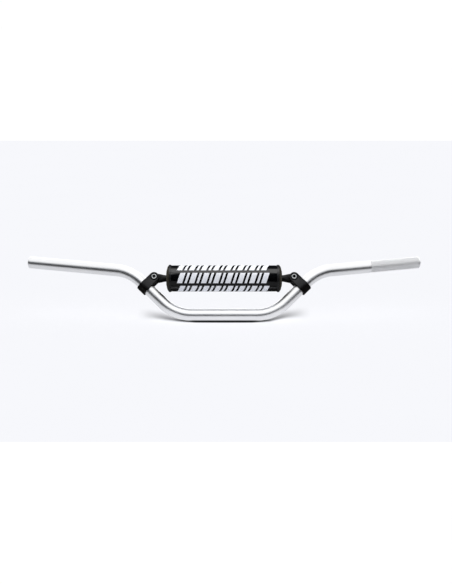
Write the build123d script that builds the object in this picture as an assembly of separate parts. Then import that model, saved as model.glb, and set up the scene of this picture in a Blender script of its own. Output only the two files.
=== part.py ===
from build123d import *
import math
import os

os.makedirs("parts", exist_ok=True)

# ---------------------------------------------------------------------------
# Cross-braced 22.2 mm (7/8") off-road handlebar with a round bar pad.
# Row frame: origin at the centre of the middle (clamping) section's axis,
# +X to the rider's left, +Y to the rear, +Z up. Millimetres.
# The bar is drawn in its own plane first (x lateral, y rearward sweep, z rise)
# and then leaned back by LEAN about X, as it sits when clamped in the stem.
# ---------------------------------------------------------------------------
LEAN = 22.0            # degrees that the rise plane leans to the rear

# tube
BAR_OD = 22.2
BAR_ID = 14.2
V1_X = 90.6            # lower bend vertex, from the middle
LEG_ANGLE = 44.9       # degrees above the middle section
LEG_LEN = 117.0        # lower vertex to upper vertex
OUT_DIR = (0.9356, 0.3107, 0.1676)   # direction of the grip sections
OUT_LEN = 207.0        # upper vertex to the bar end
BEND_R1 = 75.0         # lower bends, on the tube's axis
BEND_R2 = 79.0         # upper bends, on the tube's axis
END_CHAMFER = 0.9
END_CHAMFER_IN = 0.5

# brace clamps
CLAMP_ALONG = 76.8     # clamp centre along the leg from the lower vertex
CLAMP_R = 13.85        # outside of the ring
CLAMP_BORE_R = 11.12
CLAMP_W = 18.8         # width along the tube
BOLT_OFF = 21.5        # tube axis to bolt axis
EAR_R = 9.0            # rounded end of the ears, and half their width
SLOT = 8.0             # gap between the two ears
EYE_HOLE_R = 3.3       # M6 clearance
CBORE_R = 6.6
CBORE_DEPTH = 6.2
NUT_POCKET_DEPTH = 5.2

# M6 hardware
BOLT_R = 3.0
BOLT_LEN = 25.0
HEAD_R = 5.0
HEAD_H = 6.0
HEX_AF = 5.02
HEX_DEPTH = 3.2
WASHER_R = 6.0
WASHER_HOLE_R = 3.2
WASHER_T = 1.58
NUT_AF = 10.0
NUT_HEX_H = 4.7
NUT_H = 6.0
NUT_BORE_R = 3.05
RUN = 0.02             # seat gap under the washer and under the head

# cross brace
BRACE_R = 6.0
TONGUE_T = 7.8
EYE_R = 8.5

# bar pad
PAD_BORE_R = 6.35
FOAM_R = 23.0
FOAM_HALF = 100.0
SLIT = 0.8
COVER_R0 = 23.2
COVER_R1 = 24.4
COVER_HALF = 102.0
FLAP_R0 = 25.4
FLAP_R1 = 26.6
FLAP_HALF = 97.0
STRIP_HALF = 95.0
BIND_R0 = 24.45
BIND_R1 = 25.6
BIND_X0 = 98.2
BIND_X1 = 102.6
PANEL_TIP = 107.3

LA = math.radians(LEG_ANGLE)
D = Vector(math.cos(LA), 0, math.sin(LA))      # up the left leg (+X side)
S = Vector(-math.sin(LA), 0, math.cos(LA))     # from the leg towards the bolt
V1 = Vector(V1_X, 0, 0)
V2 = V1 + D * LEG_LEN
U = Vector(*OUT_DIR).normalized()
V3 = V2 + U * OUT_LEN
CLAMP_C = V1 + D * CLAMP_ALONG
BOLT_C = CLAMP_C + S * BOLT_OFF

LEAN_LOC = Location((0, 0, 0), (-LEAN, 0, 0))


def lean(shape):
    """From the bar's own plane into the row frame."""
    return LEAN_LOC * shape


def other_side(shape):
    return mirror(shape, about=Plane.YZ)


def save(shape, node):
    export_step(lean(shape), f"parts/{node}.step")


# ------------------------------------------------------------ handlebar tube
def mx(v):
    return Vector(-v.X, v.Y, v.Z)


path = FilletPolyline(
    [tuple(p) for p in (mx(V3), mx(V2), mx(V1), V1, V2, V3)],
    radius=[BEND_R2, BEND_R1, BEND_R1, BEND_R2],
)


def rod(radius):
    """A solid rod along the path: a true cylinder for each straight and a torus for each bend."""
    solid = None
    for e in path.edges():
        start = Plane(origin=e @ 0, z_dir=e % 0)
        if e.geom_type == GeomType.LINE:
            piece = Solid.make_cylinder(radius, e.length, start)
        else:
            piece = sweep(start * Circle(radius), path=e).solid()
        solid = piece if solid is None else solid + piece
    return solid


tube = rod(BAR_OD / 2) - rod(BAR_ID / 2)


def end_edges(shape, point, r):
    return [
        e
        for e in shape.edges()
        if e.geom_type == GeomType.CIRCLE
        and (e.arc_center - point).length < 0.01
        and abs(e.radius - r) < 0.01
    ]


for tip in (V3, mx(V3)):
    tube = chamfer(end_edges(tube, tip, BAR_OD / 2), END_CHAMFER)
    tube = chamfer(end_edges(tube, tip, BAR_ID / 2), END_CHAMFER_IN)
section = math.pi * ((BAR_OD / 2) ** 2 - (BAR_ID / 2) ** 2)
print("tube path", round(path.length, 2), "volume share", round(tube.volume / (section * path.length), 4))
print("bar end", [round(c, 2) for c in V3], "bolt", [round(c, 2) for c in BOLT_C])
save(tube, "handlebar_tube")

# ------------------------------------------------- brace clamps and hardware
# Local frame of a clamp: x from the tube towards the bolt, y along the tube,
# z to the front.
LOCAL = Plane(origin=CLAMP_C, x_dir=S, z_dir=(0, -1, 0)).location


def both(shape, name):
    placed = LOCAL * shape
    save(placed, f"left_{name}")
    save(other_side(placed), f"right_{name}")


outline = Pos(BOLT_OFF / 2, 0) * Rectangle(BOLT_OFF, 2 * EAR_R) + Pos(BOLT_OFF, 0) * Circle(EAR_R)
ears = extrude(outline, amount=CLAMP_R, both=True)
ears = chamfer(
    [e for e in ears.edges() if abs(abs(e.center().Z) - CLAMP_R) < 0.05 and e.center().X > 1],
    0.7,
)
hoop = Rot(90, 0, 0) * Cylinder(CLAMP_R, CLAMP_W)
hoop = chamfer([e for e in hoop.edges() if e.geom_type == GeomType.CIRCLE], 0.5)
clamp = ears + hoop
clamp -= Rot(90, 0, 0) * Cylinder(CLAMP_BORE_R, CLAMP_W + 2)
clamp -= Pos(28, 0, 0) * Box(46, CLAMP_W + 4, SLOT)
clamp -= Pos(BOLT_OFF, 0, 0) * Cylinder(EYE_HOLE_R, 2 * CLAMP_R + 2)
clamp -= Pos(BOLT_OFF, 0, CLAMP_R - CBORE_DEPTH / 2 + 0.5) * Cylinder(CBORE_R, CBORE_DEPTH + 1)
pocket = extrude(RegularPolygon(NUT_AF / 2 + 0.1, 6, major_radius=False), amount=NUT_POCKET_DEPTH + 1)
clamp -= Pos(BOLT_OFF, 0, -CLAMP_R - 1) * pocket
clamp = clamp.solids().sort_by(SortBy.VOLUME)[-1]
both(clamp, "clamp")

floor_z = CLAMP_R - CBORE_DEPTH
washer = Cylinder(WASHER_R, WASHER_T) - Cylinder(WASHER_HOLE_R, WASHER_T + 1)
washer = chamfer(
    [e for e in washer.edges() if e.geom_type == GeomType.CIRCLE and abs(e.radius - WASHER_R) < 0.01], 0.2
)
washer = Pos(BOLT_OFF, 0, floor_z + RUN + WASHER_T / 2) * washer
both(washer, "washer")

head_z = floor_z + 2 * RUN + WASHER_T
head = Cylinder(HEAD_R, HEAD_H)
head = chamfer(head.faces().sort_by(Axis.Z)[-1].edges(), 0.5)
shank = Pos(0, 0, -(HEAD_H + BOLT_LEN) / 2 + 0.5) * Cylinder(BOLT_R, BOLT_LEN + 1)
shank = chamfer(shank.faces().sort_by(Axis.Z)[0].edges(), 0.6)
bolt = head + shank
bolt -= Pos(0, 0, HEAD_H / 2 - HEX_DEPTH) * extrude(
    RegularPolygon(HEX_AF / 2, 6, major_radius=False), amount=HEX_DEPTH + 1
)
bolt = Pos(BOLT_OFF, 0, head_z + HEAD_H / 2) * bolt
both(bolt, "clamp_bolt")

nut = extrude(RegularPolygon(NUT_AF / 2, 6, major_radius=False), amount=NUT_HEX_H)
cone_cut = Cylinder(NUT_AF / 2 * 1.12, NUT_HEX_H, align=(Align.CENTER, Align.CENTER, Align.MIN))
cone_cut = chamfer(cone_cut.faces().sort_by(Axis.Z)[0].edges() + cone_cut.faces().sort_by(Axis.Z)[-1].edges(), 0.55)
nut = nut & cone_cut
nut += Cylinder(4.5, NUT_H, align=(Align.CENTER, Align.CENTER, Align.MIN))
nut -= Pos(0, 0, -1) * Cylinder(NUT_BORE_R, NUT_H + 2, align=(Align.CENTER, Align.CENTER, Align.MIN))
nut -= Pos(0, 0, NUT_H - 1.7) * Cylinder(4.0, 3, align=(Align.CENTER, Align.CENTER, Align.MIN))
insert = Pos(0, 0, NUT_H - 1.7) * (
    Cylinder(3.95, 1.4, align=(Align.CENTER, Align.CENTER, Align.MIN))
    - Cylinder(3.03, 3, align=(Align.CENTER, Align.CENTER, Align.CENTER))
)
# the nut sits in its pocket in the rear ear, facing the rear
nut_loc = Pos(BOLT_OFF, 0, -(CLAMP_R - NUT_POCKET_DEPTH)) * Rot(180, 0, 0)
both(nut_loc * nut, "lock_nut")
both(nut_loc * insert, "nut_insert")

# ---------------------------------------------------------------- cross brace
bx, bz = BOLT_C.X, BOLT_C.Z
at_brace = Pos(0, 0, bz)
brace = Rot(0, 90, 0) * Cylinder(BRACE_R, 2 * 108.5)
neck = Pos(108.5 + 6, 0, 0) * (Rot(0, 90, 0) * Cone(BRACE_R, TONGUE_T / 2, 12.0))
top = [(107.0, 4.0), (109.5, 6.05), (114.0, 6.9), (119.0, 7.9), (123.5, EYE_R), (bx, EYE_R)]
side = make_face(Polyline(*(top + [(x, -z) for x, z in reversed(top)]), close=True))
side = Plane.XZ * (side + Pos(bx, 0) * Circle(EYE_R))
side = extrude(side, amount=10, both=True)
plan_pts = [(107.0, 4.2), (109.5, 5.75), (120.5, TONGUE_T / 2), (140.0, TONGUE_T / 2)]
plan = make_face(Polyline(*(plan_pts + [(x, -y) for x, y in reversed(plan_pts)]), close=True))
plan = extrude(plan, amount=12, both=True)
tongue = side & plan
end = neck + tongue
end -= Pos(bx, 0, 0) * (Rot(90, 0, 0) * Cylinder(EYE_HOLE_R, 20))
brace = brace + end + other_side(end)
save(at_brace * brace, "crossbar")


# ------------------------------------------------------------------- bar pad
def sector(r0, r1, a0, a1, half_len):
    """Annular sector about the brace axis; 0 degrees is the rear, 90 is up."""
    inner = CenterArc((0, 0), r0, a0, a1 - a0)
    outer = CenterArc((0, 0), r1, a0, a1 - a0)
    face = make_face([inner, Line(inner @ 1, outer @ 1), outer, Line(outer @ 0, inner @ 0)])
    return extrude(Plane.YZ * face, amount=half_len, both=True)


x_cyl = Rot(0, 90, 0)
foam = x_cyl * Cylinder(FOAM_R, 2 * FOAM_HALF) - x_cyl * Cylinder(PAD_BORE_R, 2 * FOAM_HALF + 2)
foam -= Pos(0, 20, 0) * Box(2 * FOAM_HALF + 2, 40, SLIT)
save(at_brace * foam, "pad_foam_core")

EDGE = -20.0           # where the wrap starts, under the flap
cover = sector(COVER_R0, COVER_R1, EDGE, EDGE + 358.0, COVER_HALF)
cover += sector(COVER_R0 + 0.2, FLAP_R1, EDGE - 5.0, EDGE - 2.0, FLAP_HALF)
cover += sector(FLAP_R0, FLAP_R1, EDGE - 4.0, 22.0, FLAP_HALF)
save(at_brace * cover, "pad_cover")
save(at_brace * sector(24.42, 24.86, -16.0, 18.0, STRIP_HALF), "pad_loop_strip")
save(at_brace * sector(24.92, 25.38, -16.0, 18.0, STRIP_HALF), "pad_hook_strip")

binding = Pos((BIND_X0 + BIND_X1) / 2, 0, 0) * (
    x_cyl * (Cylinder(BIND_R1, BIND_X1 - BIND_X0) - Cylinder(BIND_R0, 20))
)
binding = chamfer(
    [e for e in binding.edges() if e.geom_type == GeomType.CIRCLE and abs(e.radius - BIND_R1) < 0.01], 0.4
)
save(at_brace * binding, "left_pad_binding")
save(at_brace * other_side(binding), "right_pad_binding")

profile = [
    (100.3, 6.5), (100.3, 23.0), (102.15, 23.0), (102.15, 24.3), (102.9, 24.3), (104.4, 20.5),
    (105.8, 15.5), (106.8, 11.0), (PANEL_TIP, 8.2), (PANEL_TIP, 6.5),
]
panel = revolve(make_face(Polyline(*profile, close=True)), axis=Axis.X, revolution_arc=360)
save(at_brace * panel, "left_pad_end_panel")
save(at_brace * other_side(panel), "right_pad_end_panel")
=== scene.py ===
import math

import bmesh
import bpy
import numpy as np
from mathutils import Matrix, Vector


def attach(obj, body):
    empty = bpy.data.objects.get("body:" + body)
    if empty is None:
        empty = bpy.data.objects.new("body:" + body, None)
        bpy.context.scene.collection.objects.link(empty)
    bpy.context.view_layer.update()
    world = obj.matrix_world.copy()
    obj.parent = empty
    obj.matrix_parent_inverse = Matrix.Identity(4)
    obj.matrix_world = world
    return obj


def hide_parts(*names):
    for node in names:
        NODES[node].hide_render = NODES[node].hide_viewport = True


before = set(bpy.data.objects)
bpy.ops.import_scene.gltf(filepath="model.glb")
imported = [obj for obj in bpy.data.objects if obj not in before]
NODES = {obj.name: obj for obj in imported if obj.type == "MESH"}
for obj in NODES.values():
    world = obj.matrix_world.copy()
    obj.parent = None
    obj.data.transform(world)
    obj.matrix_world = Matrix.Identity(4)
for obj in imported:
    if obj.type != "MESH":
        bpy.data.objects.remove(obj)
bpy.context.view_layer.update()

# ---------------------------------------------------------------------------
# Driving dimensions, in millimetres, the same as the CAD's
# ---------------------------------------------------------------------------
LEAN = math.radians(22.0)
BAR_R, BORE_R = 11.1, 7.1
V1_X, LEG_ANGLE, LEG_LEN = 90.6, math.radians(44.9), 117.0
OUT_LEN = 207.0
BEND_R1, BEND_R2 = 75.0, 79.0
CLAMP_ALONG, BOLT_OFF = 76.8, 21.5
KNURL_LEN = 101.4
FLOOR_Z = -11.1

D = np.array([math.cos(LEG_ANGLE), 0, math.sin(LEG_ANGLE)])
S = np.array([-math.sin(LEG_ANGLE), 0, math.cos(LEG_ANGLE)])
U = np.array([0.9356, 0.3107, 0.1676])
U /= np.linalg.norm(U)
V1 = np.array([V1_X, 0, 0])
V2 = V1 + D * LEG_LEN
V3 = V2 + U * OUT_LEN
CLAMP_C = V1 + D * CLAMP_ALONG
BOLT_C = CLAMP_C + S * BOLT_OFF
MIRROR = np.array([-1.0, 1.0, 1.0])


def to_row(p):
    """From the bar's own plane to the row frame, millimetres."""
    p = np.atleast_2d(np.asarray(p, float))
    c, s = math.cos(LEAN), math.sin(LEAN)
    return np.stack([p[:, 0], p[:, 1] * c + p[:, 2] * s, -p[:, 1] * s + p[:, 2] * c], 1)


PAD_Y, PAD_Z = to_row([0, 0, BOLT_C[2]])[0][1:]


# ---------------------------------------------------------------------------
# Mesh helpers
# ---------------------------------------------------------------------------
class Build:
    """Collects rings and faces, then makes one mesh."""

    def __init__(self):
        self.v, self.f, self.n = [], [], 0

    def add(self, points):
        points = np.asarray(points, float)
        start = self.n
        self.v.append(points)
        self.n += len(points)
        return list(range(start, start + len(points)))

    def bridge(self, a, b, closed=True):
        n = len(a)
        for i in range(n if closed else n - 1):
            j = (i + 1) % n
            self.f.append((a[i], a[j], b[j], b[i]))

    def cap(self, ring, centre):
        c = self.add([centre])[0]
        n = len(ring)
        for i in range(n):
            self.f.append((ring[i], ring[(i + 1) % n], c))

    def grid(self, idx, closed_u=False, closed_v=False):
        nu, nv = idx.shape
        for i in range(nu if closed_u else nu - 1):
            for j in range(nv if closed_v else nv - 1):
                i2, j2 = (i + 1) % nu, (j + 1) % nv
                self.f.append((int(idx[i, j]), int(idx[i2, j]), int(idx[i2, j2]), int(idx[i, j2])))

    def points(self):
        return np.concatenate(self.v)


def make(name, build, material, sharp=35.0, transform=None):
    pts = build.points()
    if transform is not None:
        pts = transform(pts)
    me = bpy.data.meshes.new(name)
    me.from_pydata((pts * 0.001).tolist(), [], build.f)
    me.validate()
    bm = bmesh.new()
    bm.from_mesh(me)
    bmesh.ops.remove_doubles(bm, verts=bm.verts, dist=1e-7)
    bmesh.ops.recalc_face_normals(bm, faces=bm.faces)
    bm.to_mesh(me)
    bm.free()
    me.polygons.foreach_set("use_smooth", [True] * len(me.polygons))
    me.set_sharp_from_angle(angle=math.radians(sharp))
    me.materials.append(material)
    o = bpy.data.objects.new(name, me)
    bpy.context.scene.collection.objects.link(o)
    return o


def lathe(profile, segs, radius_of=None, closed=True):
    """Rings of a lathed solid about local z. profile is a list of (r, z); radius_of(theta, r, z, i) may shape a ring."""
    b = Build()
    th = np.arange(segs) * 2 * math.pi / segs
    rings = []
    for i, (r, z) in enumerate(profile):
        rr = np.full(segs, float(r)) if radius_of is None else radius_of(th, r, z, i)
        rings.append(b.add(np.stack([rr * np.cos(th), rr * np.sin(th), np.full(segs, float(z))], 1)))
    for a, c in zip(rings, rings[1:]):
        b.bridge(a, c)
    if closed:
        b.bridge(rings[-1], rings[0])
    return b, rings


def clamp_local(side, x0=BOLT_OFF):
    """Transform from a clamp's local frame (x to the bolt, z to the front) to the row frame. side is +1 for the left."""
    ez = np.array([0.0, -1.0, 0.0])
    ey = np.cross(ez, S)

    def f(p):
        q = CLAMP_C + np.outer(p[:, 0] + x0, S) + np.outer(p[:, 1], ey) + np.outer(p[:, 2], ez)
        if side < 0:
            q = q * MIRROR
        return to_row(q)

    return f


# ---------------------------------------------------------------------------
# Material helpers
# ---------------------------------------------------------------------------
def material(name):
    m = bpy.data.materials.new(name)
    m.use_nodes = True
    nt = m.node_tree
    nt.nodes.clear()
    out = nt.nodes.new("ShaderNodeOutputMaterial")
    bsdf = nt.nodes.new("ShaderNodeBsdfPrincipled")
    nt.links.new(bsdf.outputs["BSDF"], out.inputs["Surface"])
    return m, nt, bsdf


def node(nt, kind, **kw):
    n = nt.nodes.new(kind)
    for k, v in kw.items():
        if k in n.inputs.keys() if hasattr(n.inputs, "keys") else False:
            n.inputs[k].default_value = v
        else:
            setattr(n, k, v)
    return n


def coords(nt, scale=(1, 1, 1)):
    tc = nt.nodes.new("ShaderNodeTexCoord")
    mp = nt.nodes.new("ShaderNodeMapping")
    mp.inputs["Scale"].default_value = scale
    nt.links.new(tc.outputs["Object"], mp.inputs["Vector"])
    return mp.outputs["Vector"]


def noise(nt, vec, scale, detail=3.0, rough=0.55):
    n = nt.nodes.new("ShaderNodeTexNoise")
    n.inputs["Scale"].default_value = scale
    n.inputs["Detail"].default_value = detail
    n.inputs["Roughness"].default_value = rough
    nt.links.new(vec, n.inputs["Vector"])
    return n.outputs["Fac"]


def ramp(nt, fac, stops):
    r = nt.nodes.new("ShaderNodeValToRGB")
    el = r.color_ramp.elements
    while len(el) < len(stops):
        el.new(0.5)
    for e, (pos, col) in zip(el, stops):
        e.position = pos
        e.color = col if len(col) == 4 else (*col, 1)
    nt.links.new(fac, r.inputs["Fac"])
    return r.outputs["Color"]


def span(nt, fac, lo, hi, a=0.0, b=1.0):
    m = nt.nodes.new("ShaderNodeMapRange")
    m.inputs["From Min"].default_value = lo
    m.inputs["From Max"].default_value = hi
    m.inputs["To Min"].default_value = a
    m.inputs["To Max"].default_value = b
    nt.links.new(fac, m.inputs["Value"])
    return m.outputs["Result"]


def math_node(nt, op, a, b=None, c=None):
    m = nt.nodes.new("ShaderNodeMath")
    m.operation = op
    for i, x in enumerate((a, b, c)):
        if x is None:
            continue
        if isinstance(x, (int, float)):
            m.inputs[i].default_value = x
        else:
            nt.links.new(x, m.inputs[i])
    return m.outputs[0]


def bump(nt, bsdf, height, strength, distance_mm, chain=None):
    b = nt.nodes.new("ShaderNodeBump")
    b.inputs["Strength"].default_value = strength
    b.inputs["Distance"].default_value = distance_mm * 0.001
    nt.links.new(height, b.inputs["Height"])
    if chain is not None:
        nt.links.new(chain, b.inputs["Normal"])
    nt.links.new(b.outputs["Normal"], bsdf.inputs["Normal"])
    return b.outputs["Normal"]


def silver_alloy():
    m, nt, p = material("satin_silver_alloy")
    v = coords(nt)
    p.inputs["Metallic"].default_value = 1.0
    big = noise(nt, v, 14.0, 4.0)
    fine = noise(nt, v, 900.0, 2.0)
    col = ramp(nt, big, [(0.3, (0.80, 0.806, 0.822)), (0.7, (0.86, 0.866, 0.878))])
    nt.links.new(col, p.inputs["Base Color"])
    mix = math_node(nt, "MULTIPLY_ADD", fine, 0.08, span(nt, big, 0.3, 0.7, 0.27, 0.33))
    nt.links.new(mix, p.inputs["Roughness"])
    grain = noise(nt, v, 2600.0, 2.0, 0.6)
    bump(nt, p, grain, 0.10, 0.02)
    return m


def knurled_alloy():
    m, nt, p = material("knurled_silver_alloy")
    v = coords(nt)
    p.inputs["Metallic"].default_value = 1.0
    big = noise(nt, v, 60.0, 4.0)
    col = ramp(nt, big, [(0.3, (0.93, 0.935, 0.945)), (0.7, (0.97, 0.972, 0.98))])
    nt.links.new(col, p.inputs["Base Color"])
    nt.links.new(span(nt, big, 0.3, 0.7, 0.44, 0.54), p.inputs["Roughness"])
    bump(nt, p, noise(nt, v, 2200.0, 3.0, 0.6), 0.25, 0.03)
    return m


def black_anodised(name="black_anodised", tint=(0.0024, 0.0019, 0.0018), spec=0.55):
    m, nt, p = material(name)
    v = coords(nt)
    p.inputs["Metallic"].default_value = 0.0
    p.inputs["Specular IOR Level"].default_value = spec
    big = noise(nt, v, 45.0, 4.0)
    base = ramp(nt, big, [(0.3, tint), (0.7, tuple(c * 1.45 for c in tint))])
    # painted sheen: convex edges, in patches, are mixed toward a brownish grey
    geo = nt.nodes.new("ShaderNodeNewGeometry")
    convex_edge = span(nt, geo.outputs["Pointiness"], 0.53, 0.60, 0.0, 1.0)
    sheen_patch = span(nt, noise(nt, v, 260.0, 4.0), 0.50, 0.66, 0.0, 1.0)
    edge_sheen = math_node(nt, "MULTIPLY", convex_edge, sheen_patch)
    edge_sheen = math_node(nt, "MULTIPLY", edge_sheen, 0.35)
    mx = nt.nodes.new("ShaderNodeMix")
    mx.data_type = "RGBA"
    nt.links.new(edge_sheen, mx.inputs["Factor"])
    nt.links.new(base, mx.inputs[6])
    mx.inputs[7].default_value = (0.07, 0.064, 0.06, 1)
    nt.links.new(mx.outputs[2], p.inputs["Base Color"])
    nt.links.new(span(nt, noise(nt, v, 420.0, 3.0), 0.3, 0.7, 0.27, 0.34), p.inputs["Roughness"])
    bump(nt, p, noise(nt, v, 3000.0, 2.0, 0.6), 0.18, 0.02)
    return m


def zinc_steel():
    m, nt, p = material("zinc_plated_steel")
    v = coords(nt)
    p.inputs["Metallic"].default_value = 1.0
    big = noise(nt, v, 320.0, 4.0)
    nt.links.new(ramp(nt, big, [(0.3, (0.58, 0.605, 0.60)), (0.7, (0.72, 0.735, 0.725))]), p.inputs["Base Color"])
    nt.links.new(span(nt, big, 0.3, 0.7, 0.30, 0.42), p.inputs["Roughness"])
    bump(nt, p, noise(nt, v, 2500.0, 2.0), 0.10, 0.02)
    return m


def black_oxide_and_socket_shade():
    # black oxide finish of the washers; the bolts' hex sockets take it too, as painted shade
    m, nt, p = material("black_oxide_steel_and_socket_shade")
    v = coords(nt)
    p.inputs["Metallic"].default_value = 0.3
    p.inputs["Specular IOR Level"].default_value = 0.2
    big = noise(nt, v, 300.0, 4.0)
    nt.links.new(ramp(nt, big, [(0.3, (0.005, 0.005, 0.0055)), (0.7, (0.014, 0.0135, 0.0135))]), p.inputs["Base Color"])
    nt.links.new(span(nt, big, 0.3, 0.7, 0.36, 0.5), p.inputs["Roughness"])
    bump(nt, p, noise(nt, v, 2500.0, 2.0), 0.12, 0.02)
    return m


def nylon():
    m, nt, p = material("natural_nylon")
    v = coords(nt)
    nt.links.new(ramp(nt, noise(nt, v, 200.0), [(0.3, (0.62, 0.66, 0.70)), (0.7, (0.72, 0.75, 0.78))]), p.inputs["Base Color"])
    p.inputs["Roughness"].default_value = 0.42
    p.inputs["Subsurface Weight"].default_value = 0.15
    p.inputs["Subsurface Scale"].default_value = 0.001
    bump(nt, p, noise(nt, v, 1500.0), 0.1, 0.03)
    return m


def foam():
    m, nt, p = material("closed_cell_foam")
    v = coords(nt)
    vo = nt.nodes.new("ShaderNodeTexVoronoi")
    vo.inputs["Scale"].default_value = 1100.0
    nt.links.new(v, vo.inputs["Vector"])
    nt.links.new(ramp(nt, vo.outputs["Distance"], [(0.0, (0.012, 0.012, 0.012)), (0.7, (0.045, 0.043, 0.04))]), p.inputs["Base Color"])
    p.inputs["Roughness"].default_value = 0.85
    bump(nt, p, vo.outputs["Distance"], 0.6, 0.15)
    return m


def vinyl(name="gloss_black_vinyl", rough=(0.12, 0.18), tint=(0.0008, 0.0008, 0.0012)):
    """Coated vinyl: a fine leather-like emboss under a gloss coat."""
    m, nt, p = material(name)
    v = coords(nt)
    big = noise(nt, v, 30.0, 4.0)
    nt.links.new(ramp(nt, big, [(0.3, tint), (0.7, tuple(c * 1.5 for c in tint))]), p.inputs["Base Color"])
    p.inputs["Specular IOR Level"].default_value = 0.60
    mid = noise(nt, v, 260.0, 3.0)
    nt.links.new(span(nt, mid, 0.3, 0.7, rough[0], rough[1]), p.inputs["Roughness"])
    vo = nt.nodes.new("ShaderNodeTexVoronoi")
    vo.feature = "DISTANCE_TO_EDGE"
    vo.inputs["Scale"].default_value = 950.0
    nt.links.new(v, vo.inputs["Vector"])
    cells = span(nt, vo.outputs["Distance"], 0.0, 0.12, 0.0, 1.0)
    n1 = bump(nt, p, cells, 0.05, 0.03)
    bump(nt, p, noise(nt, v, 90.0, 3.0), 0.10, 0.35, chain=n1)
    return m


def print_ink():
    m, nt, p = material("white_print")
    v = coords(nt)
    big = noise(nt, v, 40.0, 4.0)
    nt.links.new(ramp(nt, big, [(0.3, (0.85, 0.872, 0.93)), (0.7, (0.885, 0.907, 0.965))]), p.inputs["Base Color"])
    fine = noise(nt, v, 700.0, 3.0)
    nt.links.new(span(nt, fine, 0.3, 0.7, 0.30, 0.40), p.inputs["Roughness"])
    bump(nt, p, fine, 0.10, 0.03)
    return m


def weave(name, a, b, pitch_mm=0.55, rough=0.82, sheen=0.25):
    """A plain weave of round threads, from crossed waves along two of the piece's own directions."""
    m, nt, p = material(name)
    v = coords(nt)
    sep = nt.nodes.new("ShaderNodeSeparateXYZ")
    nt.links.new(v, sep.inputs[0])
    k = 2 * math.pi / (pitch_mm * 0.001)
    y = math_node(nt, "SINE", math_node(nt, "MULTIPLY", sep.outputs["Y"], k))
    z = math_node(nt, "SINE", math_node(nt, "MULTIPLY", sep.outputs["Z"], k))
    w = math_node(nt, "MULTIPLY", y, z)
    w = span(nt, w, -1.0, 1.0, 0.0, 1.0)
    big = noise(nt, v, 180.0, 4.0)
    col = ramp(nt, math_node(nt, "MULTIPLY_ADD", big, 0.5, math_node(nt, "MULTIPLY", w, 0.5)), [(0.25, a), (0.75, b)])
    nt.links.new(col, p.inputs["Base Color"])
    p.inputs["Roughness"].default_value = rough
    p.inputs["Sheen Weight"].default_value = sheen
    p.inputs["Sheen Roughness"].default_value = 0.5
    p.inputs["Specular IOR Level"].default_value = 0.2
    n1 = bump(nt, p, w, 0.35, 0.12)
    bump(nt, p, noise(nt, v, 1400.0, 3.0), 0.3, 0.05, chain=n1)
    return m


def thread():
    m, nt, p = material("black_thread")
    v = coords(nt)
    nt.links.new(ramp(nt, noise(nt, v, 900.0), [(0.3, (0.012, 0.012, 0.013)), (0.7, (0.04, 0.04, 0.043))]), p.inputs["Base Color"])
    p.inputs["Roughness"].default_value = 0.6
    p.inputs["Sheen Weight"].default_value = 0.3
    bump(nt, p, noise(nt, v, 3500.0), 0.5, 0.05)
    return m


MAT = {
    "alloy": silver_alloy(),
    "knurl": knurled_alloy(),
    "anod": black_anodised(),
    "brace": black_anodised("black_anodised_brace", (0.0020, 0.0016, 0.0015), 0.32),
    "zinc": zinc_steel(),
    "oxide_and_socket_shade": black_oxide_and_socket_shade(),
    "nylon": nylon(),
    "foam": foam(),
    "vinyl": vinyl(),
    "binding": vinyl("black_binding_tape", (0.30, 0.42), (0.0035, 0.0035, 0.0042)),
    "ink": print_ink(),
    "panel": weave("olive_black_nylon", (0.0165, 0.0138, 0.0088), (0.0515, 0.0435, 0.0285), sheen=0.03),
    "tape": weave("hook_and_loop_tape", (0.010, 0.010, 0.010), (0.03, 0.03, 0.03), 0.9, 0.9, 0.1),
    "thread": thread(),
}


# ---------------------------------------------------------------------------
# Handlebar tube
# ---------------------------------------------------------------------------
def bar_samples():
    """Points and tangents along the tube's axis from the right end (-X) to the left end (+X)."""
    corners = [V3 * MIRROR, V2 * MIRROR, V1 * MIRROR, V1, V2, V3]
    radii = [BEND_R2, BEND_R1, BEND_R1, BEND_R2]
    out = []
    start = corners[0]

    def line(a, b, step):
        n = max(2, int(math.ceil(np.linalg.norm(b - a) / step)))
        t = (b - a) / np.linalg.norm(b - a)
        for i in range(n + 1):
            out.append((a + (b - a) * i / n, t))

    for i, r in enumerate(radii):
        p = corners[i + 1]
        d1 = (p - corners[i]) / np.linalg.norm(p - corners[i])
        d2 = (corners[i + 2] - p) / np.linalg.norm(corners[i + 2] - p)
        phi = math.acos(np.clip(d1 @ d2, -1, 1))
        t = r * math.tan(phi / 2)
        a = p - d1 * t
        line(start, a, 6.0)
        n = (d2 - d1 * (d1 @ d2))
        n /= np.linalg.norm(n)
        c = a + n * r
        m = int(math.ceil(r * phi / 2.2))
        for k in range(1, m):
            ang = phi * k / m
            out.append((c - n * r * math.cos(ang) + d1 * r * math.sin(ang), d1 * math.cos(ang) + n * math.sin(ang)))
        start = p + d2 * t
    line(start, corners[-1], 6.0)
    pts, tans = [out[0][0]], [out[0][1]]
    for p, t in out[1:]:
        if np.linalg.norm(p - pts[-1]) > 1e-6:
            pts.append(p)
            tans.append(t)
    pts, tans = np.array(pts), np.array(tans)
    s = np.concatenate([[0], np.cumsum(np.linalg.norm(np.diff(pts, axis=0), axis=1))])
    # a frame carried along the tube without twist
    n = np.cross(tans[0], [0, 0, 1.0])
    n /= np.linalg.norm(n)
    ns = [n]
    for i in range(1, len(pts)):
        n = ns[-1] - tans[i] * (ns[-1] @ tans[i])
        ns.append(n / np.linalg.norm(n))
    return pts, tans, np.array(ns), s


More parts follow.
